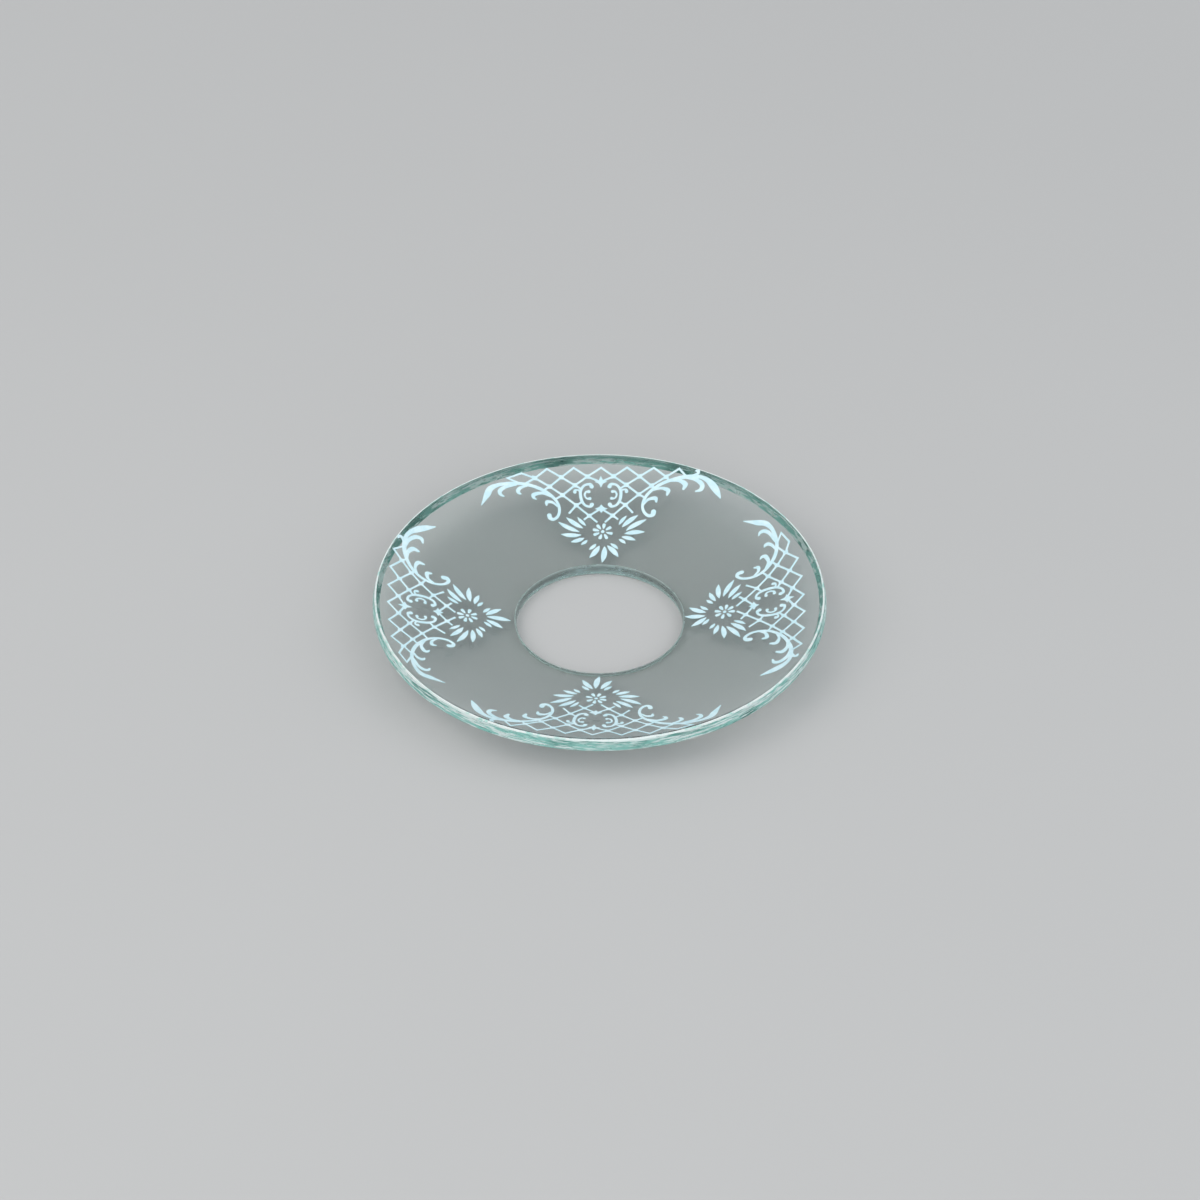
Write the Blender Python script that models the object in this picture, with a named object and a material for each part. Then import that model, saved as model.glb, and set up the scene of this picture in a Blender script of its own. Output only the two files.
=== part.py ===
"""A glass bobeche: a dished disc with a round hole and four white figures fired onto its upper face.

The disc's axis is Z and the flat ring that it rests on lies at z = 0. Lengths are in metres. A figure is
drawn flat, in its own millimetres, with x along the rim and y out from the disc's axis. It is then scaled
to the glass between hole and rim, and bent to the dish.
"""

import math

import bmesh
import bpy
from mathutils import Vector
from mathutils.geometry import delaunay_2d_cdt

MM = 0.001

# The glass
RIM_DIAMETER = 114.3 * MM
HOLE_DIAMETER = 42.0 * MM
GLASS_THICKNESS = 3.2 * MM
DISH_RADIUS = 168.0 * MM  # of the sphere that the upper face is cut from
SEAT_DIAMETER = 48.0 * MM  # outside of the flat ring ground under the hole
RIM_LEAN = 0.65 * MM  # how far the rim's lower edge stands out past its upper one
RIM_ARRIS = 0.3 * MM  # flat ground along both edges of the rim
HOLE_ROUND = 0.5 * MM  # how far the polish rounds both edges of the hole
DISC_SEGMENTS = 60
TOP_RINGS = 6
UNDERSIDE_RINGS = 5
HOLE_ROUND_STEPS = 3

# The enamel figures
ENAMEL_THICKNESS = 0.12 * MM
ENAMEL_CLEARANCE = 0.06 * MM  # above the glass, and more than its facets rise over the true dish
RIM_MARGIN = 4.75 * MM  # bare glass between the trellis and the rim
HOLE_MARGIN = 1.6 * MM  # bare glass between the longest ray and the hole
# Each figure was laid by hand: degrees round from +X, then how far it sits off its true place in x and y
FIGURES = {
    "right": (1.6, -0.85 * MM, 0.1 * MM),
    "back": (90.6, 0.75 * MM, 0.15 * MM),
    "left": (182.2, -0.9 * MM, -0.45 * MM),
    "front": (266.9, 1.3 * MM, -1.2 * MM),
}

# The drawing of one figure, in its own millimetres
DRAWN_INNER = 22.6  # end of the longest ray
DRAWN_OUTER = 52.4  # middle tip of the trellis
LINE = 0.52  # width of a trellis line
CROSSING = 0.7  # from the middle of a crossing to where the lines' fillets meet
CURVE_STEPS = 2  # straight pieces between two points of a stroke
FLAT_BEND = 13.0  # degrees: a corner of an outline that bends less is left out
DOT_CORNERS = 6

RIM_RADIUS = RIM_DIAMETER / 2
HOLE_RADIUS = HOLE_DIAMETER / 2
SEAT_RADIUS = SEAT_DIAMETER / 2
UNDERSIDE_RADIUS = DISH_RADIUS + GLASS_THICKNESS
SPHERE_CENTRE = math.sqrt(UNDERSIDE_RADIUS**2 - SEAT_RADIUS**2)
FIGURE_SCALE = (RIM_RADIUS - RIM_MARGIN - HOLE_RADIUS - HOLE_MARGIN) / (DRAWN_OUTER - DRAWN_INNER)


# Half of the trellis, row by row from the rim inwards; the other half is its mirror image

TIPS = ((0.0, 52.4), (6.9, 52.05), (13.8, 51.45))
ROW_1 = ((3.4, 49.6), (10.1, 49.2), (16.9, 48.5))
ROW_2 = ((6.6, 46.9), (13.1, 46.2))
ROW_3 = (9.8, 43.8)
ROW_4 = (6.3, 40.75)
ROW_5 = (3.0, 37.5)
RIM_STAR = (0.0, 48.0, 1.75)  # with the reach of its arms in y
FLOWER_STAR = (0.0, 39.8, 1.3)
TRELLIS_LINES = (
    (ROW_1[0], RIM_STAR[:2]),
    (ROW_1[0], ROW_2[0], ROW_3, (11.6, 42.5)),
    (ROW_1[1], ROW_2[0], (5.1, 45.9)),
    (ROW_1[1], ROW_2[1], (14.4, 45.2)),
    (ROW_1[2], ROW_2[1], ROW_3, ROW_4, ROW_5, (1.0, 35.4)),
    ((4.8, 41.9), ROW_4, (8.2, 38.1)),
    (FLOWER_STAR[:2], ROW_5, (4.4, 36.2)),
)
STAR_REACH = 1.6  # of a star's arms along the rim
STAR_BODY = 0.5  # where two arms of a star meet, in x and in y

# Strokes: each point is x, y and the stroke's width there

C_SCROLL = (
    (2.3, 46.55, 1.1),
    (2.75, 47.25, 0.75),
    (4.1, 46.95, 0.6),
    (5.05, 45.6, 0.75),
    (5.2, 44.0, 0.8),
    (4.85, 42.1, 0.75),
    (3.95, 40.75, 0.65),
    (2.75, 40.4, 0.75),
    (2.3, 41.0, 1.1),
)
C_SCROLL_BUD = ((5.1, 45.0, 0.5), (5.9, 45.5, 0.45), (6.6, 45.35, 0.6), (6.65, 44.85, 0.9))
# The scroll towards -x: its stem runs from the curl to the tip of the long leaf
LEFT_STEM = (
    (-13.25, 37.25, 1.2),
    (-13.0, 36.4, 1.1),
    (-12.1, 36.05, 0.85),
    (-11.0, 37.2, 0.75),
    (-10.65, 39.2, 0.75),
    (-11.2, 41.5, 0.75),
    (-13.0, 43.7, 0.9),
    (-16.1, 45.6, 0.95),
    (-19.6, 46.45, 0.9),
    (-23.0, 46.3, 0.9),
    (-26.2, 45.45, 1.0),
    (-28.3, 44.0, 1.5),
    (-29.1, 42.2, 1.65),
    (-29.75, 40.6, 1.0),
    (-30.6, 38.5, 0.2),
)
LEFT_LEAFLETS = (
    ((-21.8, 46.0, 0.5), (-24.5, 45.0, 0.9), (-25.85, 43.7, 1.1), (-25.75, 42.6, 0.9), (-24.9, 42.1, 0.4)),
    ((-18.8, 46.1, 0.4), (-20.5, 45.3, 0.8), (-21.3, 44.2, 1.1), (-20.9, 43.35, 0.8), (-20.4, 43.5, 0.3)),
    ((-12.9, 43.2, 0.4), (-15.0, 44.1, 0.8), (-17.1, 43.5, 1.1), (-17.25, 42.6, 0.85), (-16.6, 42.1, 0.3)),
    ((-11.1, 40.2, 0.4), (-12.4, 41.4, 0.7), (-13.8, 41.45, 0.95), (-13.95, 40.5, 0.5)),
)
LEFT_CORNER = ((-20.6, 46.5), (-24.0, 47.75), (-20.4, 49.6))
LEFT_END = ((-ROW_1[2][0], ROW_1[2][1]), (-19.5, 46.5))

# The scroll towards +x, which has a spur towards the rim
RIGHT_STEM = (
    (13.5, 38.1, 1.3),
    (13.3, 37.2, 1.2),
    (12.2, 36.9, 0.9),
    (11.0, 38.3, 0.75),
    (10.75, 40.5, 0.75),
    (11.8, 43.3, 0.8),
    (14.45, 45.8, 0.85),
    (17.9, 47.3, 0.9),
    (21.6, 47.85, 1.1),
    (25.2, 47.45, 1.0),
    (27.35, 46.15, 1.25),
    (28.8, 44.2, 1.85),
    (29.75, 42.0, 1.45),
    (30.5, 39.9, 0.3),
)
RIGHT_LEAFLETS = (
    ((22.0, 47.5, 0.4), (24.4, 46.75, 1.0), (26.0, 45.0, 1.2), (25.8, 43.5, 1.1), (24.4, 43.1, 0.4)),
    ((18.0, 47.1, 0.4), (20.2, 46.95, 0.9), (21.75, 45.7, 1.35), (21.3, 44.3, 0.7)),
    ((13.3, 44.7, 0.4), (15.5, 45.2, 0.7), (17.3, 44.4, 1.15), (17.05, 43.0, 0.6)),
    ((11.0, 40.6, 0.4), (12.2, 42.0, 0.75), (14.0, 42.25, 1.05), (14.25, 41.2, 0.6)),
)
SPUR = ((23.6, 48.0, 0.5), (24.9, 48.3, 0.8), (25.3, 49.0, 0.7), (24.7, 49.3, 0.6))
RIGHT_CORNER = ((20.35, 50.5), (22.1, 47.95))
RIGHT_END = (ROW_1[2], (17.7, 47.3))

# The flower: rays of unlike length round a small daisy
FLOWER_CENTRE = (0.4, 32.35)
FLOWER_TILT = 1.2  # degrees
# From the ray that points at the hole to the last, on one side: where it ends outside and inside, as
# degrees round the flower and distance from its centre, then its greatest width
RAYS = (
    (0.0, 9.75, 0.0, 5.2, 1.5),
    (23.0, 9.4, 12.0, 4.8, 1.35),
    (32.0, 7.0, 24.5, 4.45, 0.9),
    (53.5, 7.1, 56.0, 4.85, 0.85),
    (68.0, 8.9, 67.5, 5.2, 1.15),
    (85.5, 10.7, 80.0, 5.65, 1.3),
    (105.5, 11.7, 90.5, 6.0, 1.25),
    (117.0, 10.3, 104.0, 5.15, 1.25),
    (127.0, 7.9, 116.0, 4.7, 0.9),
)
SHORT_RAYS = (2, 3, 8)  # too small to be solids of their own
RAY_BEND = 0.04  # how far a ray bows to one side, as a share of its length
RAY_BELLY = ((0.0, 0.12), (0.25, 0.8), (0.55, 1.0), (0.8, 0.62), (1.0, 0.08))  # place along, share of width
PETALS = 8
PETAL_TURN = 29.5  # degrees from +x to the first petal
PETAL = ((0.3, 0.3), (1.3, 0.65), (2.1, 0.85), (2.5, 0.7), (2.7, 0.3))  # distance from the heart, width
HEART_RADIUS = 0.5


# Flat outlines

def smooth_line(points):
    """Points on a smooth curve through the given ones; the width runs smoothly with the place."""
    knots = [Vector(p) for p in points]
    ends = [knots[0] * 2 - knots[1]] + knots + [knots[-1] * 2 - knots[-2]]
    line = []
    for a, b, c, d in zip(ends, ends[1:], ends[2:], ends[3:]):
        for step in range(CURVE_STEPS):
            t = step / CURVE_STEPS
            line.append((b * 2 + (c - a) * t + (a * 2 - b * 5 + c * 4 - d) * t**2
                         + (b * 3 - a - c * 3 + d) * t**3) / 2)
    return line + [knots[-1]]


def band(line):
    """The triangles of a stroke along a line of (x, y, width)."""
    steps = [(b - a).to_2d().normalized() for a, b in zip(line, line[1:])]
    left, right = [], []
    for here, before, after in zip(line, steps[:1] + steps, steps + steps[-1:]):
        along = (before + after).normalized()
        half = Vector((-along.y, along.x)) * here.z / 2 / max(along.dot(after), 0.5)
        left.append(here.to_2d() + half)
        right.append(here.to_2d() - half)
    strip = [point for pair in zip(left, right) for point in pair]
    return [strip[i:i + 3] for i in range(len(strip) - 2)]


def dot(centre, radius, corners=DOT_CORNERS):
    """A round spot."""
    turns = [math.tau * i / corners for i in range(corners)]
    return [Vector((centre[0] + radius * math.cos(a), centre[1] + radius * math.sin(a))) for a in turns]


def stroke(points):
    """A smooth brush stroke with round ends."""
    shapes = band(smooth_line(points))
    for end in (points[0], points[-1]):
        if end[2] >= LINE:
            shapes.append(dot(end, end[2] / 2))
    return shapes


def ruled(points):
    """A trellis line, straight from crossing to crossing."""
    return band([Vector((*point, LINE)) for point in points])


def mirrored(points):
    """The same points on the other side of the figure's middle."""
    return tuple((-p[0], *p[1:]) for p in points)


# The figure's parts, each as a list of overlapping flat shapes

def star(place):
    """Four pointed leaves where the trellis crosses the figure's middle."""
    x, y, reach = place
    arms = ((STAR_REACH, 0.0), (0.0, reach), (-STAR_REACH, 0.0), (0.0, -reach))
    between = ((STAR_BODY, STAR_BODY), (-STAR_BODY, STAR_BODY), (-STAR_BODY, -STAR_BODY), (STAR_BODY, -STAR_BODY))
    return [Vector((x + dx, y + dy)) for pair in zip(arms, between) for dx, dy in pair]


def lattice():
    """The trellis: a zigzag along the rim, the lines inside it, their crossings and the two stars."""
    zigzag = [point for pair in zip(TIPS, ROW_1) for point in pair]
    shapes = [star(RIM_STAR), star(FLOWER_STAR)] + ruled(LEFT_END) + ruled(RIGHT_END)
    shapes += ruled(LEFT_CORNER + mirrored(zigzag[:0:-1]) + (*zigzag, *RIGHT_CORNER))
    for side in (tuple, mirrored):
        for line in TRELLIS_LINES:
            shapes += ruled(side(line))
        for point in side((*ROW_1, *ROW_2, ROW_3, ROW_4, ROW_5)):
            shapes.append(dot(point, CROSSING, 4))
    return shapes


def cartouche():
    """The two C scrolls that face each other inside the trellis, each with a bud outside."""
    shapes = []
    for side in (tuple, mirrored):
        shapes += stroke(side(C_SCROLL)) + stroke(side(C_SCROLL_BUD))
    return shapes


def leaf_scrolls():
    """The leafy scrolls along both sides of the trellis."""
    shapes = []
    for line in (LEFT_STEM, *LEFT_LEAFLETS, RIGHT_STEM, *RIGHT_LEAFLETS, SPUR):
        shapes += stroke(line)
    return shapes


def daisy():
    """A round heart with petals that widen outwards."""
    shapes = [dot(FLOWER_CENTRE, HEART_RADIUS, PETALS)]
    for i in range(PETALS):
        turn = math.radians(PETAL_TURN) + math.tau * i / PETALS
        out = Vector((math.cos(turn), math.sin(turn)))
        line = [Vector((*(Vector(FLOWER_CENTRE) + out * along), width)) for along, width in PETAL]
        shapes += band(line)
    return shapes


def ray(index, side):
    """A pointed ray of the flower; side is 1 towards +x and -1 towards -x."""
    outer_turn, outer, inner_turn, inner, width = RAYS[index]
    centre = Vector(FLOWER_CENTRE)
    ends = []
    for turn, distance in ((inner_turn, inner), (outer_turn, outer)):
        angle = math.radians(side * turn + FLOWER_TILT)
        ends.append(centre + Vector((math.sin(angle), -math.cos(angle))) * distance)
    run = ends[1] - ends[0]
    bow = Vector((-run.y, run.x)) * RAY_BEND * 4
    line = [(ends[0] + run * along + bow * along * (1 - along), width * share) for along, share in RAY_BELLY]
    return band([Vector((*point, wide)) for point, wide in line])


# Solids

def dish_height(radius, sphere=DISH_RADIUS):
    """Height of the upper face at this distance from the axis, or of the underside with its own sphere."""
    return SPHERE_CENTRE - math.sqrt(sphere**2 - radius**2)


def place(figure, point):
    """Where a point of the drawing lies on the disc."""
    turn, shift_x, shift_y = FIGURES[figure]
    turn = math.radians(turn)
    out = HOLE_RADIUS + HOLE_MARGIN + (point.y - DRAWN_INNER) * FIGURE_SCALE
    across = point.x * FIGURE_SCALE
    x = out * math.cos(turn) + across * math.sin(turn) + shift_x
    y = out * math.sin(turn) - across * math.cos(turn) + shift_y
    return x, y


def add_object(name, bm, material):
    """Make a named object of the finished mesh."""
    bmesh.ops.recalc_face_normals(bm, faces=bm.faces)
    mesh = bpy.data.meshes.new(name)
    bm.to_mesh(mesh)
    bm.free()
    mesh.materials.append(material)
    made = bpy.data.objects.new(name, mesh)
    bpy.context.scene.collection.objects.link(made)
    return made


def merged(shapes):
    """Corners and triangles that cover the shapes, wherever they overlap, once."""
    corners, faces = [], []
    for shape in shapes:
        area = sum(a.cross(b) for a, b in zip(shape, shape[1:] + shape[:1]))
        faces.append(range(len(corners), len(corners) + len(shape)))
        corners += shape if area > 0 else shape[::-1]
    points, _, triangles, _, _, sources = delaunay_2d_cdt(corners, [], faces, 1, 1e-4)
    return points, [triangle for triangle, source in zip(triangles, sources) if source]


def add_figure_mesh(bm, figure, shapes, lower, upper):
    """Lay the shapes on the dish as one thin solid between two heights over the glass."""
    flat = bmesh.new()
    points, triangles = merged(shapes)
    verts = [flat.verts.new((*place(figure, p), 0.0)) for p in points]
    for triangle in triangles:
        flat.faces.new([verts[i] for i in triangle])
    bmesh.ops.delete(flat, geom=[v for v in flat.verts if not v.link_faces], context="VERTS")
    bmesh.ops.dissolve_limit(flat, angle_limit=math.radians(FLAT_BEND), verts=flat.verts, edges=flat.edges)
    bmesh.ops.triangulate(flat, faces=flat.faces)
    ground = set(flat.verts)
    bmesh.ops.extrude_face_region(flat, geom=flat.faces[:])
    for vert in flat.verts:
        over = lower if vert in ground else upper
        vert.co.z = dish_height(vert.co.to_2d().length) + over
    piece = bpy.data.meshes.new("piece")
    flat.to_mesh(piece)
    flat.free()
    bm.from_mesh(piece)
    bpy.data.meshes.remove(piece)


def enamel_piece(name, figure, shapes, material):
    """One piece of enamel that lies on the glass."""
    bm = bmesh.new()
    add_figure_mesh(bm, figure, shapes, ENAMEL_CLEARANCE, ENAMEL_CLEARANCE + ENAMEL_THICKNESS)
    return add_object(name, bm, material)


def soften(before, corner, after, size, steps):
    """The corner cut back by size along both sides, flat for one step and rounded for more."""
    start = corner + (before - corner).normalized() * size
    end = corner + (after - corner).normalized() * size
    cut = []
    for i in range(steps + 1):
        t = i / steps
        cut.append(start * (1 - t) ** 2 + corner * 2 * t * (1 - t) + end * t**2)
    return cut


def dish_points(start, end, sphere, rings):
    """Points of the disc's section along a sphere, between two radii and without the ends."""
    radii = [start + (end - start) * i / rings for i in range(1, rings)]
    return [Vector((r, dish_height(r, sphere))) for r in radii]


def disc_section():
    """The disc's closed section, as (radius, height), from the hole's lower edge outwards."""
    hole_low = Vector((HOLE_RADIUS, 0.0))
    seat = Vector((SEAT_RADIUS, 0.0))
    rim_low = Vector((RIM_RADIUS, dish_height(RIM_RADIUS, UNDERSIDE_RADIUS)))
    top_radius = RIM_RADIUS - RIM_LEAN
    rim_high = Vector((top_radius, dish_height(top_radius)))
    hole_high = Vector((HOLE_RADIUS, dish_height(HOLE_RADIUS)))
    under = dish_points(SEAT_RADIUS, RIM_RADIUS - RIM_ARRIS, UNDERSIDE_RADIUS, UNDERSIDE_RINGS)
    upper = dish_points(top_radius - RIM_ARRIS, HOLE_RADIUS + HOLE_ROUND, DISH_RADIUS, TOP_RINGS)
    section = soften(hole_high, hole_low, seat, HOLE_ROUND, HOLE_ROUND_STEPS) + [seat] + under
    section += soften(under[-1], rim_low, rim_high, RIM_ARRIS, 1)
    section += soften(rim_low, rim_high, upper[0], RIM_ARRIS, 1) + upper
    return section + soften(upper[-1], hole_high, hole_low, HOLE_ROUND, HOLE_ROUND_STEPS)


def glass_disc(material):
    """The dished glass with its hole, turned from one section."""
    bm = bmesh.new()
    verts = [bm.verts.new((p.x, 0.0, p.y)) for p in disc_section()]
    for a, b in zip(verts, verts[1:] + verts[:1]):
        bm.edges.new((a, b))
    bmesh.ops.spin(bm, geom=bm.verts[:] + bm.edges[:], axis=(0, 0, 1), cent=(0, 0, 0),
                   angle=math.tau, steps=DISC_SEGMENTS, use_merge=True)
    disc = add_object("glass_disc", bm, material)
    disc.data.shade_smooth()
    disc.data.set_sharp_from_angle(angle=math.radians(30))


def make_material(name, colour, roughness, transmission=0.0):
    """A plain material for one kind of piece."""
    material = bpy.data.materials.new(name)
    material.use_nodes = True
    shader = material.node_tree.nodes["Principled BSDF"]
    shader.inputs["Base Color"].default_value = (*colour, 1.0)
    shader.inputs["Roughness"].default_value = roughness
    shader.inputs["Metallic"].default_value = 0.0
    shader.inputs["Transmission Weight"].default_value = transmission
    return material


def build():
    """Make the disc and the pieces of its four figures."""
    for old in list(bpy.data.objects):
        bpy.data.objects.remove(old)
    glass = make_material("green_edged_glass", (0.78, 0.92, 0.88), 0.04, transmission=1.0)
    enamel = make_material("white_enamel", (0.76, 0.90, 0.92), 0.5)
    glass_disc(glass)
    for figure in FIGURES:
        enamel_piece(f"trellis_{figure}", figure, lattice() + cartouche() + leaf_scrolls(), enamel)
        enamel_piece(f"daisy_{figure}", figure, daisy(), enamel)
        enamel_piece(f"ray_{figure}_hole", figure, ray(0, 1), enamel)
        for index in range(1, len(RAYS)):
            if index in SHORT_RAYS:
                continue
            enamel_piece(f"ray_{figure}_clockwise_{index}", figure, ray(index, 1), enamel)
            enamel_piece(f"ray_{figure}_counter_{index}", figure, ray(index, -1), enamel)


build()
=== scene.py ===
"""A glass bobeche with four figures in white enamel, on a pale floor under soft light.

Lengths are in metres. The disc's axis is Z, and the flat ring that it rests on lies at z = 0. A figure is
drawn flat, in its own millimetres, with x along the rim and y out from the axis, then laid on the dish.
"""

import math

import bmesh
import bpy
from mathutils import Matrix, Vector, noise
from mathutils.geometry import delaunay_2d_cdt


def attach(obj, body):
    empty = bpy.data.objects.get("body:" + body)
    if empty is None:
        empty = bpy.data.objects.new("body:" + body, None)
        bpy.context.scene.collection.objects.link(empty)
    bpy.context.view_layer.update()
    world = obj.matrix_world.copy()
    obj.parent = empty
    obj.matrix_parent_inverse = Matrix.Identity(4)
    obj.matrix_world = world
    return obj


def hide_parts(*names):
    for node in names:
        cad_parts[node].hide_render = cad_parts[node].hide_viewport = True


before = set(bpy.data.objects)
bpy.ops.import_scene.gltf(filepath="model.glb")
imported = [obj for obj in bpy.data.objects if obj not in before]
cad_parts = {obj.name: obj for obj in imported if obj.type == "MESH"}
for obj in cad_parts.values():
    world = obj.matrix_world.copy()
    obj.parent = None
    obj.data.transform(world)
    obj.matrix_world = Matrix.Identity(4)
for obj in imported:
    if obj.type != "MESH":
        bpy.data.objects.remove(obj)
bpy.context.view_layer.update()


# Glass disc
# One piece of clear soda-lime glass, sagged into a shallow dish, with a smoothed hole and a flat ring under
# it that the dish rests on. Its rim is nipped and ground by hand, so it is frosted, streaked and a little
# uneven; the white of its streaks and of its upper edge is partly painted highlight.

MM = 0.001
RIM_RADIUS = 57.15 * MM
RIM_LEAN = 0.65 * MM  # the rim's lower edge stands out past its upper one
RIM_FLAT = 0.42 * MM  # the narrow flats ground along the rim's two edges
NIPPED = 0.5 * MM  # how far in from the upper edge the nipping reaches
RIM_LOSS = 0.05 * MM  # what the grinding takes off all round
HOLE_RADIUS = 21.0 * MM
HOLE_ROUNDING = 0.5 * MM
SEAT_RADIUS = 24.0 * MM
TOP_SPHERE = 168.0 * MM
UNDER_SPHERE = 171.2 * MM
THICKNESS = UNDER_SPHERE - TOP_SPHERE
SPHERE_CENTRE = math.sqrt(UNDER_SPHERE**2 - SEAT_RADIUS**2)
DISC_STEPS = 288
DISH_STEPS = 22


class Wire:
    """A socket of a material; sums and products of wires add the nodes that work them out."""

    def __init__(self, socket):
        self.socket = socket

    def add(self, kind, settings, sockets, output=0):
        """Add a node: its settings are made first, then its sockets are filled or linked."""
        tree = self.socket.id_data
        node = tree.nodes.new("ShaderNode" + kind)
        for name, value in settings.items():
            setattr(node, name, value)
        for name, value in sockets.items():
            if isinstance(value, Wire):
                tree.links.new(value.socket, node.inputs[name])
            else:
                node.inputs[name].default_value = value
        return Wire(node.outputs[output])

    def maths(self, operation, first, second=0.0):
        return self.add("Math", {"operation": operation}, {0: first, 1: second})

    def __add__(self, other):
        return self.maths("ADD", self, other)

    def __sub__(self, other):
        return self.maths("SUBTRACT", self, other)

    def __rsub__(self, other):
        return self.maths("SUBTRACT", other, self)

    def __mul__(self, other):
        return self.maths("MULTIPLY", self, other)

    __radd__ = __add__
    __rmul__ = __mul__

    def grain(self, scale, detail=2.0, roughness=0.5):
        """Even noise at this many bumps to the metre, from 0 to 1."""
        sockets = {"Vector": self, "Scale": scale, "Detail": detail, "Roughness": roughness}
        return self.add("TexNoise", {}, sockets)

    def stretched(self, x, y, z):
        """The same place with its three axes scaled apart."""
        return self.add("VectorMath", {"operation": "MULTIPLY"}, {0: self, 1: (x, y, z)})

    def step(self, low, high):
        """0 below one value, 1 above the other, smooth between them."""
        return self.add("MapRange", {"interpolation_type": "SMOOTHSTEP"},
                        {"Value": self, "From Min": low, "From Max": high})

    def mix(self, low, high):
        """From one colour at 0 to another at 1."""
        low = low if isinstance(low, Wire) else (*low, 1.0)
        high = high if isinstance(high, Wire) else (*high, 1.0)
        return self.add("Mix", {"data_type": "RGBA"}, {"Factor": self, 6: low, 7: high}, output=2)

    def bump(self, strength, height):
        """A surface normal raised by this mask, height in metres."""
        return self.add("Bump", {}, {"Height": self, "Strength": strength, "Distance": height})


def material_of(name):
    """A new material: the place on the object as a wire, and its shader."""
    material = bpy.data.materials.new(name)
    material.use_nodes = True
    tree = material.node_tree
    place = Wire(tree.nodes.new("ShaderNodeTexCoord").outputs["Object"])
    return material, place, tree.nodes["Principled BSDF"]


def set_shader(shader, sockets):
    """Fill or link the shader's own sockets."""
    for name, value in sockets.items():
        if isinstance(value, Wire):
            shader.id_data.links.new(value.socket, shader.inputs[name])
        else:
            shader.inputs[name].default_value = value


def put_in_scene(name, bm, materials):
    """Make the finished mesh an object in the scene."""
    mesh = bpy.data.meshes.new(name)
    bm.to_mesh(mesh)
    bm.free()
    for material in materials:
        mesh.materials.append(material)
    mesh.shade_smooth()
    mesh.set_sharp_from_angle(angle=math.radians(35))
    piece = bpy.data.objects.new(name, mesh)
    bpy.context.scene.collection.objects.link(piece)
    return piece


def dish_height(radius, sphere=TOP_SPHERE):
    """Height of the upper face at this distance from the axis."""
    return SPHERE_CENTRE - math.sqrt(sphere**2 - radius**2)


def dish_line(bm, sphere, inner, outer):
    """One face of the dish in section: a point swung about the middle of its sphere."""
    start = bm.verts.new((inner, 0.0, dish_height(inner, sphere)))
    swing = math.asin(outer / sphere) - math.asin(inner / sphere)
    swung = bmesh.ops.spin(bm, geom=[start], axis=(0, -1, 0), cent=(0, 0, SPHERE_CENTRE), angle=swing,
                           steps=DISH_STEPS)
    return start, swung["geom_last"][0]


def ring_edges(bm, radius, height):
    """The edges of the disc that run round the axis at this radius and height."""
    at = {v for v in bm.verts if abs(v.co.xy.length - radius) < 1e-6 and abs(v.co.z - height) < 1e-6}
    return [e for e in bm.edges if at.issuperset(e.verts)]


def rim_wall_faces(bm):
    """The faces of the ground rim and of the flats along its two edges."""
    return [f for f in bm.faces if f.calc_center_median().xy.length > RIM_RADIUS - RIM_LEAN - RIM_FLAT]


def hole_wall_faces(bm):
    """The faces of the hole's wall and of its two roundings."""
    return [f for f in bm.faces if f.calc_center_median().xy.length < HOLE_RADIUS + HOLE_ROUNDING]


def ground_rim(bm):
    """Nip the rim: its upper edge wanders in and out, with a few shallow flakes, both in millimetres."""
    for vert in bm.verts:
        reach = vert.co.xy.length
        if reach < RIM_RADIUS - RIM_LEAN - NIPPED:
            continue
        along = vert.co.normalized()
        upper = (vert.co.z - dish_height(reach, UNDER_SPHERE)) / THICKNESS
        waver = 0.03 * noise.noise(along * 9) + 0.02 * noise.noise(along * 31)
        flake = 0.168 * max(0.0, noise.noise(along * 13 + Vector((5, 2, 8))) - 0.32)
        vert.co.xy *= 1 - (RIM_LOSS + (waver + flake) * upper * MM) / reach


bm = bmesh.new()
top_in, top_out = dish_line(bm, TOP_SPHERE, HOLE_RADIUS, RIM_RADIUS - RIM_LEAN)
under_in, under_out = dish_line(bm, UNDER_SPHERE, SEAT_RADIUS, RIM_RADIUS)
hole_low = bm.verts.new((HOLE_RADIUS, 0.0, 0.0))
for pair in ((top_in, hole_low), (hole_low, under_in), (under_out, top_out)):
    bm.edges.new(pair)
bmesh.ops.spin(bm, geom=bm.verts[:] + bm.edges[:], axis=(0, 0, 1), cent=(0, 0, 0), angle=math.tau,
               steps=DISC_STEPS, use_merge=True)
bmesh.ops.recalc_face_normals(bm, faces=bm.faces)
hole_corners = ring_edges(bm, HOLE_RADIUS, 0.0) + ring_edges(bm, HOLE_RADIUS, dish_height(HOLE_RADIUS))
bmesh.ops.bevel(bm, geom=hole_corners, offset=HOLE_ROUNDING, segments=5, profile=0.5, affect="EDGES",
                material=-1)
rim_corners = ring_edges(bm, RIM_RADIUS, dish_height(RIM_RADIUS, UNDER_SPHERE))
rim_corners += ring_edges(bm, RIM_RADIUS - RIM_LEAN, dish_height(RIM_RADIUS - RIM_LEAN))
bmesh.ops.bevel(bm, geom=rim_corners, offset=RIM_FLAT, segments=2, profile=0.5, affect="EDGES", material=-1)
rim_edges = {e for f in rim_wall_faces(bm) for e in f.edges}
across = [e for e in rim_edges if abs(e.verts[0].co.z - e.verts[1].co.z) > THICKNESS / 2]
bmesh.ops.subdivide_edges(bm, edges=across, cuts=5, use_grid_fill=True)
bm.normal_update()
# Rim faces that point up get the pale upper-edge material, which is partly painted highlight; the others get
# the streaked rim.
for face in rim_wall_faces(bm):
    face.material_index = 2 if face.normal.z > 0.5 else 1
for face in hole_wall_faces(bm):
    face.material_index = 3
ground_rim(bm)

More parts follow.
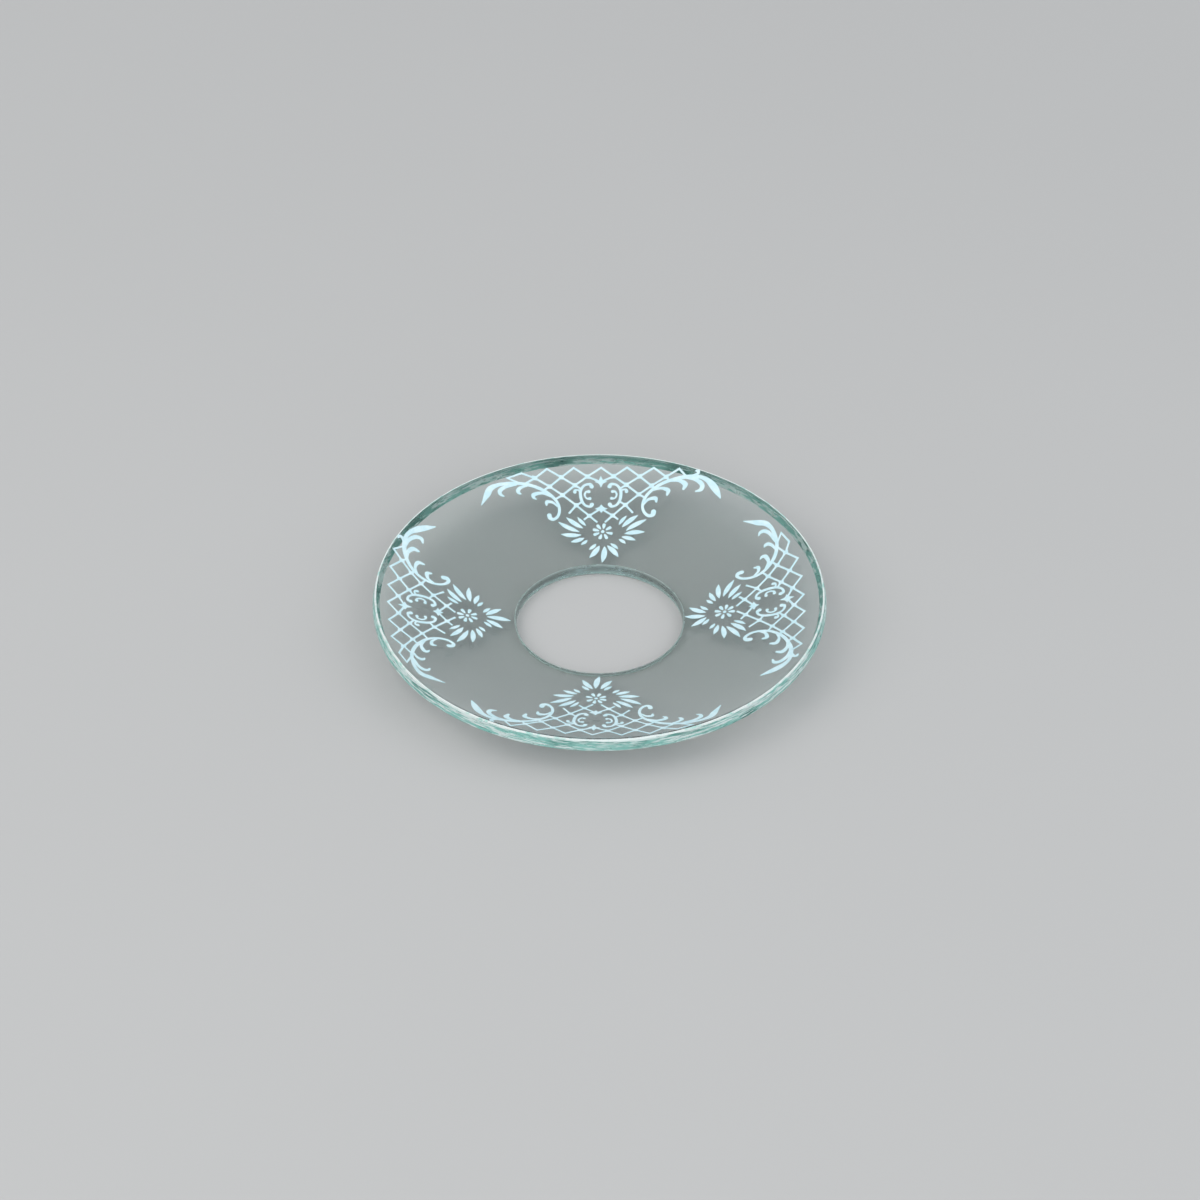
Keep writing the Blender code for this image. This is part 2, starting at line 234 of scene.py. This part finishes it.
clear_glass, place, shader = material_of("clear_glass")
tree = shader.id_data
iron = tree.nodes.new("ShaderNodeVolumeAbsorption")  # the green that long ways through the glass take on
iron.inputs["Color"].default_value = (0.42, 0.90, 0.84, 1.0)
iron.inputs["Density"].default_value = 10.0
tree.links.new(iron.outputs[0], tree.nodes["Material Output"].inputs["Volume"])
smears = place.grain(160, detail=4.0).step(0.52, 0.75)
specks = place.grain(1500, detail=1.0).step(0.74, 0.80)
waves = place.grain(70, detail=1.0)
set_shader(shader, {
    "Base Color": smears.mix((0.955, 0.99, 0.98), (0.93, 0.98, 0.965)),
    "Roughness": 0.012 + smears * 0.03 + specks * 0.12,
    "IOR": 1.52,
    "Transmission Weight": 1.0,
    "Normal": (waves * 0.8 + specks * 0.05).bump(0.5, 0.1 * MM),
})

rim_glass, place, shader = material_of("ground_green_rim_painted_highlights")
streaks = place.stretched(1, 1, 26).grain(80, detail=4.0, roughness=0.6)
fine_streaks = place.stretched(1, 1, 14).grain(300, detail=2.0)
patches = place.stretched(1, 1, 3).grain(80, detail=3.0).step(0.30, 0.52)
# The near-white streaks are partly the rim's ground frost and partly painted highlight.
frost_and_highlight_streaks = (streaks * 0.55 + fine_streaks * 0.45).step(0.47, 0.55)
chips = place.stretched(1, 1, 5).grain(330, detail=2.0).step(0.54, 0.62)
green = patches.mix((0.05, 0.24, 0.20), (0.27, 0.64, 0.57))
set_shader(shader, {
    "Base Color": frost_and_highlight_streaks.mix(green, (0.86, 1.0, 0.98)),
    "Roughness": 0.55 - chips * 0.35,
    "IOR": 1.52,
    "Transmission Weight": 0.3,
    "Normal": (streaks + fine_streaks * 0.6 - chips * 0.4).bump(1.0, 0.3 * MM),
})

frosted_and_highlight_edge, place, shader = material_of("frosted_upper_edge_painted_highlight")
# The broken white line along the upper edge is partly ground frost and partly painted highlight.
broken_frost_and_highlight = place.grain(420, detail=3.0, roughness=0.6).step(0.30, 0.52)
set_shader(shader, {
    "Base Color": broken_frost_and_highlight.mix((0.46, 0.80, 0.73), (0.92, 1.0, 0.98)),
    "Roughness": 0.45,
    "IOR": 1.52,
    "Transmission Weight": 0.2,
    "Normal": broken_frost_and_highlight.bump(0.5, 0.1 * MM),
})

hole_wall, place, shader = material_of("smoothed_hole_wall")
turned = place.stretched(1, 1, 9).grain(160, detail=2.0)
set_shader(shader, {
    "Base Color": turned.mix((0.62, 0.88, 0.83), (0.86, 0.97, 0.95)),
    "Roughness": 0.22 + turned * 0.12,
    "IOR": 1.52,
    "Transmission Weight": 0.8,
    "Normal": turned.bump(0.3, 0.1 * MM),
})

disc = put_in_scene("bobeche_glass", bm, (clear_glass, rim_glass, frosted_and_highlight_edge, hole_wall))
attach(disc, "root")
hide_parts("glass_disc")


# Trellis prints
# White enamel printed on the upper face and fired into a thin, satin, slightly raised film. One print holds
# the lattice with its stars, two C scrolls and the leafy scrolls beside it. Four stand round the disc.

# Each figure was laid by hand: degrees round from +X, then how far it sits off its true place in x and y
FIGURES = {
    "right": (1.6, -0.85, 0.1),
    "back": (90.6, 0.75, 0.15),
    "left": (182.2, -0.9, -0.45),
    "front": (266.9, 1.3, -1.2),
}
ENAMEL_FOOT = -0.03 * MM  # sunk in the glass
ENAMEL_SHOULDER = 0.06 * MM
ENAMEL_TOP = 0.1 * MM
ENAMEL_SLOPE = 0.04 * MM  # how far in from its outline the film has its full height
LINE = 0.52  # width of the lattice's lines
CROSSING = (0.62, 1.0)  # how far the enamel of a crossing reaches between its lines, and along them

# Half of the lattice, row by row from the rim inwards; the other half is its mirror image
TIPS = ((0.2, 52.2), (6.9, 52.05), (13.8, 51.45))
ROW_1 = ((3.4, 49.6), (10.1, 49.2), (16.9, 48.5))
ROW_2 = ((6.6, 46.9), (13.1, 46.2))
ROW_3 = (9.8, 43.8)
ROW_4 = (6.3, 40.75)
ROW_5 = (3.0, 37.5)
# The two stars on the figure's middle: how far their leaves reach along it and across it, and the notch
# between two leaves
RIM_STAR = (0.1, 48.0)
RIM_STAR_REACH = 1.75
FLOWER_STAR = (0.1, 39.7)
FLOWER_STAR_REACH = 1.3
STAR_ARM = 1.6
STAR_NOTCH = (0.55, 0.5)
# The zigzag along the rim runs on into the scrolls at both ends, and so does the lattice's outermost line
LEFT_END = ((-20.6, 46.5), (-24.0, 47.75), (-20.4, 49.6))
RIGHT_END = ((20.35, 50.5), (22.1, 47.95))
LEFT_STUB = (-19.5, 46.5)
RIGHT_STUB = (17.7, 47.3)
LATTICE_LINES = (
    (ROW_1[0], RIM_STAR),
    (ROW_1[0], ROW_2[0], ROW_3, (11.6, 42.5)),
    (ROW_1[1], ROW_2[0], (5.1, 45.9)),
    (ROW_1[1], ROW_2[1], (14.4, 45.2)),
    (ROW_1[2], ROW_2[1], ROW_3, ROW_4, ROW_5, (1.0, 35.4)),
    ((4.8, 41.9), ROW_4, (8.2, 38.1)),
    (FLOWER_STAR, ROW_5, (4.4, 36.2)),
)

# Strokes: each point is x, y and the stroke's width there
C_SCROLL = (
    (2.3, 46.55, 1.1), (2.75, 47.25, 0.75), (4.1, 46.95, 0.6), (5.05, 45.6, 0.75), (5.2, 44.0, 0.8),
    (4.85, 42.1, 0.75), (3.95, 40.75, 0.65), (2.75, 40.4, 0.75), (2.3, 41.0, 1.1),
)
BUD = ((5.1, 45.0, 0.5), (5.9, 45.5, 0.45), (6.6, 45.35, 0.6), (6.65, 44.85, 0.9))
CRESCENT = (
    (3.05, 45.0, 0.85), (3.7, 44.95, 0.5), (4.1, 44.2, 0.5), (3.95, 43.4, 0.45), (3.4, 42.85, 0.5),
    (2.8, 42.9, 0.85),
)
LEFT_SCROLL = (
    ((-13.25, 37.25, 1.2), (-13.0, 36.4, 1.1), (-12.1, 36.05, 0.85), (-11.0, 37.2, 0.75),
     (-10.65, 39.2, 0.75), (-11.2, 41.5, 0.75), (-13.0, 43.7, 0.9), (-16.1, 45.6, 0.95),
     (-19.6, 46.45, 0.9), (-23.0, 46.3, 0.9), (-26.2, 45.45, 1.0), (-28.3, 44.0, 1.5),
     (-29.1, 42.2, 1.65), (-29.75, 40.6, 1.0), (-30.6, 38.5, 0.2)),
    ((-21.8, 46.0, 0.5), (-24.5, 45.0, 0.9), (-25.85, 43.7, 1.1), (-25.75, 42.6, 0.9), (-24.9, 42.1, 0.4)),
    ((-18.8, 46.1, 0.4), (-20.5, 45.3, 0.8), (-21.25, 44.3, 1.05), (-21.0, 43.6, 0.85), (-20.55, 43.35, 0.4)),
    ((-12.9, 43.2, 0.4), (-15.0, 44.1, 0.8), (-17.1, 43.5, 1.1), (-17.25, 42.6, 0.85), (-16.6, 42.1, 0.3)),
    ((-11.1, 40.2, 0.4), (-12.4, 41.4, 0.7), (-13.8, 41.45, 0.95), (-13.95, 40.5, 0.5)),
)
RIGHT_SCROLL = (
    ((13.5, 38.1, 1.3), (13.3, 37.2, 1.2), (12.2, 36.9, 0.9), (11.0, 38.3, 0.75), (10.75, 40.5, 0.75),
     (11.8, 43.3, 0.8), (14.45, 45.8, 0.85), (17.9, 47.3, 0.9), (21.6, 47.85, 1.1), (25.2, 47.45, 1.0),
     (27.35, 46.15, 1.25), (28.8, 44.2, 1.85), (29.85, 42.0, 1.5), (30.65, 39.9, 0.35)),
    ((22.0, 47.5, 0.4), (24.4, 46.75, 1.0), (26.0, 45.0, 1.2), (25.8, 43.5, 1.1), (24.4, 43.1, 0.4)),
    ((18.0, 47.1, 0.4), (20.2, 46.95, 0.9), (21.75, 45.7, 1.35), (21.3, 44.3, 0.7)),
    ((13.3, 44.7, 0.4), (15.5, 45.2, 0.7), (17.3, 44.4, 1.15), (17.05, 43.0, 0.6)),
    ((11.0, 40.6, 0.4), (12.2, 42.0, 0.75), (14.0, 42.25, 1.05), (14.25, 41.2, 0.6)),
    ((23.6, 48.0, 0.5), (24.9, 48.3, 0.8), (25.3, 49.0, 0.7), (24.7, 49.3, 0.6)),
)


def flowing(points, steps=6):
    """Points on a smooth curve through the given ones; the width runs smoothly with the place."""
    knots = [Vector(p) for p in points]
    ends = [knots[0] * 2 - knots[1]] + knots + [knots[-1] * 2 - knots[-2]]
    line = []
    for a, b, c, d in zip(ends, ends[1:], ends[2:], ends[3:]):
        for t in (i / steps for i in range(steps)):
            line.append((b * 2 + (c - a) * t + (a * 2 - b * 5 + c * 4 - d) * t**2
                         + (b * 3 - a - c * 3 + d) * t**3) / 2)
    return line + [knots[-1]]


def band(line):
    """The triangles of a stroke along a line of (x, y, width)."""
    steps = [(b - a).to_2d().normalized() for a, b in zip(line, line[1:])]
    strip = []
    for here, before, after in zip(line, steps[:1] + steps, steps + steps[-1:]):
        along = (before + after).normalized()
        half = Vector((-along.y, along.x)) * here.z / 2 / max(along.dot(after), 0.5)
        strip += [here.to_2d() + half, here.to_2d() - half]
    return [strip[i:i + 3] for i in range(len(strip) - 2)]


def dot(centre, radii, corners=20):
    """A round spot, or a star where two radii take turns."""
    angles = [math.tau * i / corners for i in range(corners)]
    reach = [radii[i % len(radii)] for i in range(corners)]
    return [Vector((centre[0] + r * math.cos(a), centre[1] + r * math.sin(a))) for r, a in zip(reach, angles)]


def stroke(points):
    """A smooth brush stroke with round ends."""
    shapes = band(flowing(points))
    for end in (points[0], points[-1]):
        shapes.append(dot(end, (end[2] / 2,)))
    return shapes


def ruled(points):
    """A line of the lattice, straight from crossing to crossing."""
    return band([Vector((*point, LINE)) for point in points])


def mirrored(points):
    """The same points on the other side of the figure's middle."""
    return tuple((-p[0], *p[1:]) for p in points)


def star(centre, reach):
    """Four pointed leaves where the lattice crosses the figure's middle."""
    across, along = STAR_NOTCH
    arms = ((STAR_ARM, 0.0), (0.0, reach), (-STAR_ARM, 0.0), (0.0, -reach))
    between = ((across, along), (-across, along), (-across, -along), (across, -along))
    return [Vector((centre[0] + x, centre[1] + y)) for pair in zip(arms, between) for x, y in pair]


def crossing(point):
    """A crossing of two lattice lines, its four corners filled by the enamel's flow."""
    return dot(point, CROSSING, corners=8)


def on_dish(figure, x, y):
    """Where a point of the drawing lies on the disc."""
    turn, shift_x, shift_y = FIGURES[figure]
    cos, sin = math.cos(math.radians(turn)), math.sin(math.radians(turn))
    return ((y * cos + x * sin + shift_x) * MM, (y * sin - x * cos + shift_y) * MM)


def enamel_mesh(figure, shapes):
    """Join the overlapping flat shapes, lay them on the dish and raise them to a film with a soft edge."""
    corners, outlines = [], []
    for shape in shapes:
        area = sum(a.cross(b) for a, b in zip(shape, shape[1:] + shape[:1]))
        outlines.append(range(len(corners), len(corners) + len(shape)))
        corners += shape if area > 0 else shape[::-1]
    points, _, triangles, _, _, sources = delaunay_2d_cdt(corners, [], outlines, 1, 1e-6)
    bm = bmesh.new()
    verts = [bm.verts.new((*on_dish(figure, *p), 0.0)) for p in points]
    for triangle, source in zip(triangles, sources):
        if source:
            bm.faces.new([verts[i] for i in triangle])
    bmesh.ops.delete(bm, geom=[v for v in bm.verts if not v.link_faces], context="VERTS")
    bmesh.ops.dissolve_limit(bm, angle_limit=math.radians(1.5), verts=bm.verts, edges=bm.edges)
    bmesh.ops.triangulate(bm, faces=bm.faces)
    foot = set(bm.verts)
    raised = bmesh.ops.extrude_face_region(bm, geom=bm.faces[:])["geom"]
    shoulder = {v for v in raised if isinstance(v, bmesh.types.BMVert)}
    tops = [f for f in raised if isinstance(f, bmesh.types.BMFace)]
    bmesh.ops.inset_region(bm, faces=tops, thickness=ENAMEL_SLOPE, use_even_offset=True, use_boundary=True)
    for vert in bm.verts:
        over = ENAMEL_FOOT if vert in foot else ENAMEL_SHOULDER if vert in shoulder else ENAMEL_TOP
        vert.co.z = dish_height(vert.co.xy.length) + over
    bmesh.ops.recalc_face_normals(bm, faces=bm.faces)
    return bm


def enamel_piece(name, figure, shapes, node=None):
    """A spot of enamel on the glass, in the place of its solid."""
    piece = put_in_scene(name, enamel_mesh(figure, shapes), (white_enamel,))
    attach(piece, "root")
    if node:
        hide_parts(node)


white_enamel, place, shader = material_of("fired_white_enamel")
clouds = place.grain(420, detail=3.0, roughness=0.6).step(0.35, 0.70)
pores = place.grain(5200, detail=1.0).step(0.64, 0.74)
milky = clouds.mix((0.60, 0.84, 0.90), (0.72, 0.91, 0.96))
set_shader(shader, {
    "Base Color": (1 - pores * 0.5).mix((0.48, 0.70, 0.76), milky),
    "Roughness": 0.36 + clouds * 0.12 + pores * 0.2,
    "IOR": 1.5,
    "Normal": (clouds * 0.5 - pores).bump(0.5, 0.02 * MM),
})

zigzag = [point for pair in zip(TIPS, ROW_1) for point in pair]
trellis = [star(RIM_STAR, RIM_STAR_REACH), star(FLOWER_STAR, FLOWER_STAR_REACH)]
trellis += ruled(LEFT_END + mirrored(zigzag[:0:-1]) + (*zigzag, *RIGHT_END))
trellis += ruled((mirrored(ROW_1)[2], LEFT_STUB)) + ruled((ROW_1[2], RIGHT_STUB))
for side in (tuple, mirrored):
    for line in LATTICE_LINES:
        trellis += ruled(side(line))
    for point in side((*ROW_1, *ROW_2, ROW_3, ROW_4, ROW_5)):
        trellis.append(crossing(point))
    trellis += stroke(side(C_SCROLL)) + stroke(side(BUD))
for line in LEFT_SCROLL + RIGHT_SCROLL:
    trellis += stroke(line)
for figure in FIGURES:
    enamel_piece(f"enamel_trellis_{figure}", figure, trellis, f"trellis_{figure}")
    enamel_piece(f"enamel_crescent_{figure}_clockwise", figure, stroke(CRESCENT))
    enamel_piece(f"enamel_crescent_{figure}_counter", figure, stroke(mirrored(CRESCENT)))


# Daisies
# The middle of each flower is a round heart and eight short petals, wider towards their ends, in the same
# enamel. They are separate touches of the brush with bare glass between them.

FLOWER_CENTRE = Vector((0.4, 32.35))
HEART_RADIUS = 0.45
PETAL_TURNS = (34, 80, 123, 164, 205, 251, 295, 343)  # degrees from +x
# Distance from the flower's centre, and the petal's width there
PETAL = ((0.96, 0.25), (1.25, 0.5), (1.7, 0.77), (2.15, 0.85), (2.45, 0.75), (2.62, 0.4))

daisy = [dot(FLOWER_CENTRE, (HEART_RADIUS,))]
for turn in PETAL_TURNS:
    out = Vector((math.cos(math.radians(turn)), math.sin(math.radians(turn))))
    daisy += band(flowing([(*(FLOWER_CENTRE + out * along), width) for along, width in PETAL], steps=4))
for figure in FIGURES:
    enamel_piece(f"enamel_daisy_{figure}", figure, daisy, f"daisy_{figure}")


# Rays
# Seventeen pointed leaves of enamel stand round each daisy, long ones towards the hole and the scrolls and
# short ones between. Each is one touch of the brush, pointed at both ends and bent a little.

# The ray that points at the hole is as long as each figure has room for, so each has its own end in y
HOLE_RAY_START = Vector((0.8, 27.4))
HOLE_RAY_END_X = 0.1
HOLE_RAY_END_Y = {"right": 22.4, "back": 22.0, "left": 21.5, "front": 21.8}
HOLE_RAY_WIDTH = 1.45
# The others on one side, from the hole round to the lattice: where each ends outside and inside, as degrees
# round the flower and distance from its centre, then its greatest width
RAYS = (
    (23.0, 9.4, 12.0, 4.8, 1.35),
    (32.0, 7.0, 24.5, 4.45, 0.9),
    (53.5, 7.1, 56.0, 4.85, 0.85),
    (68.0, 8.9, 67.5, 5.2, 1.15),
    (85.5, 10.7, 80.0, 5.65, 1.3),
    (105.5, 11.7, 90.5, 6.0, 1.25),
    (117.0, 10.3, 104.0, 5.15, 1.25),
    (127.0, 7.9, 116.0, 4.7, 0.9),
)
ONLY_PAINTED = (1, 2, 7)  # the shortest rays, which have no solid of their own
RING_TURN = 1.2  # degrees that the whole ring of rays is turned
# A leaf's width at places along it, both as shares of the whole, and how far it bows
BELLY = ((0.0, 0.1), (0.12, 0.5), (0.3, 0.9), (0.5, 1.0), (0.68, 0.9), (0.85, 0.5), (1.0, 0.08))
BOW = 0.15


def leaf(start, end, width):
    """A touch of the brush between two points, pointed at both and bowed to one side."""
    run = end - start
    bow = Vector((-run.y, run.x)) * BOW
    line = [(*(start + run * t + bow * t * (1 - t)), width * share) for t, share in BELLY]
    return band(flowing(line, steps=4))


def ray(index, side):
    """A ray beside the one that points at the hole; side is 1 towards +x and -1 towards -x."""
    ends = []
    for turn, distance in (RAYS[index][2:4], RAYS[index][:2]):
        angle = math.radians(side * turn + RING_TURN)
        ends.append(FLOWER_CENTRE + Vector((math.sin(angle), -math.cos(angle))) * distance)
    return leaf(*ends, RAYS[index][4])


for figure in FIGURES:
    hole_ray = leaf(HOLE_RAY_START, Vector((HOLE_RAY_END_X, HOLE_RAY_END_Y[figure])), HOLE_RAY_WIDTH)
    enamel_piece(f"enamel_ray_{figure}_hole", figure, hole_ray, f"ray_{figure}_hole")
    for index in range(len(RAYS)):
        for side, way in ((1, "clockwise"), (-1, "counter")):
            node = None if index in ONLY_PAINTED else f"ray_{figure}_{way}_{index + 1}"
            enamel_piece(f"enamel_ray_{figure}_{way}_{index + 1}", figure, ray(index, side), node)


# Floor
# A plain, matt, pale grey floor, a hair under the disc and large enough to fill the picture from every side.

FLOOR_GAP = 0.1 * MM

floor_grey, place, shader = material_of("matt_floor")
set_shader(shader, {
    "Base Color": place.grain(8).mix((0.50, 0.50, 0.495), (0.515, 0.515, 0.51)),
    "Roughness": 0.9,
})
bm = bmesh.new()
bmesh.ops.create_grid(bm, x_segments=1, y_segments=1, size=8.0)
bmesh.ops.translate(bm, vec=(0, 0, -FLOOR_GAP), verts=bm.verts)
floor = put_in_scene("floor", bm, (floor_grey,))


# Light and camera
# A soft sky of even light and three broad lamps. The camera looks down on the disc as a person at the table
# does, from a place fitted to the outlines of the rim and the hole.

ELEVATION = 39.74  # degrees above the table

world = bpy.data.worlds.new("soft_room")
world.use_nodes = True
world.node_tree.nodes["Background"].inputs["Color"].default_value = (0.93, 0.96, 1.0, 1.0)
world.node_tree.nodes["Background"].inputs["Strength"].default_value = 0.60
bpy.context.scene.world = world


def soft_lamp(name, place, size, power, colour):
    """A square panel of light that faces the disc."""
    lamp = bpy.data.lights.new(name, "AREA")
    lamp.size = size
    lamp.energy = power
    lamp.color = colour
    holder = bpy.data.objects.new(name, lamp)
    holder.location = place
    holder.rotation_euler = (-Vector(place)).to_track_quat("-Z", "Y").to_euler()
    holder.visible_camera = False
    bpy.context.scene.collection.objects.link(holder)


soft_lamp("left", (-0.85, -0.25, 1.05), 1.3, 8.0, (1.0, 0.985, 0.96))
soft_lamp("right", (1.0, -0.2, 0.9), 1.3, 5.0, (0.94, 0.97, 1.0))
soft_lamp("low_front", (0.15, -1.5, 0.72), 1.5, 8.5, (1.0, 1.0, 1.0))

camera = bpy.data.cameras.new("camera")
camera.sensor_width = 36.0
camera.lens = 174.0
camera.shift_y = 0.0155
camera.clip_start = 0.05
viewer = bpy.data.objects.new("camera", camera)
viewer.location = (0.00011, -1.12345, 0.93683)
viewer.rotation_euler = (math.radians(90 - ELEVATION), 0.0, 0.0)
bpy.context.scene.collection.objects.link(viewer)
bpy.context.scene.camera = viewer
bpy.context.scene.view_settings.view_transform = "Standard"
